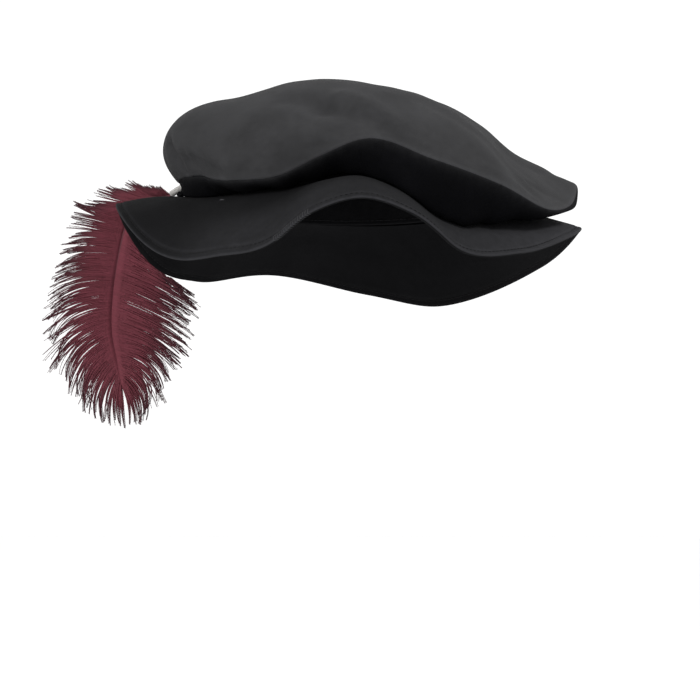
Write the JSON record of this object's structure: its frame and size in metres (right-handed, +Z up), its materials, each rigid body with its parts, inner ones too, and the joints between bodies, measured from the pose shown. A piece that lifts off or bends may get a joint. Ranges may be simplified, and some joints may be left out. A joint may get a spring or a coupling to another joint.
{
  "type": "tudor hat",
  "caption": "Soft black bonnet with a full gathered crown, an oval headband, a wide wavy double brim and a drooping ostrich plume at one side.",
  "frame": {"origin": "middle of the head opening, level with the seam between the brim and the headband", "axes": "+Z up as worn, -Y to the wearer's front, +X to the wearer's left; the plume hangs on the -X side"},
  "size_m": [0.3555, 0.3213, 0.2257],
  "materials": {
    "crown_cloth": "black wool cloth with a soft nap",
    "underside_cloth": "black wool cloth with a soft nap, gathered",
    "band_cloth": "black cotton twill",
    "brim_cloth": "black wool cloth with a stitched edge",
    "brim_facing": "black cotton twill",
    "feather": "dyed ostrich feather, soft matt barbs on a horny shaft",
    "thread": "wound cotton thread"
  },
  "bodies": {
    "root": {"crown_top": "crown_cloth", "crown_underside": "underside_cloth", "headband": "band_cloth", "brim_upper": "brim_cloth", "brim_under": "brim_facing", "plume": "feather", "quill_binding": "thread"}
  },
  "joints": []
}
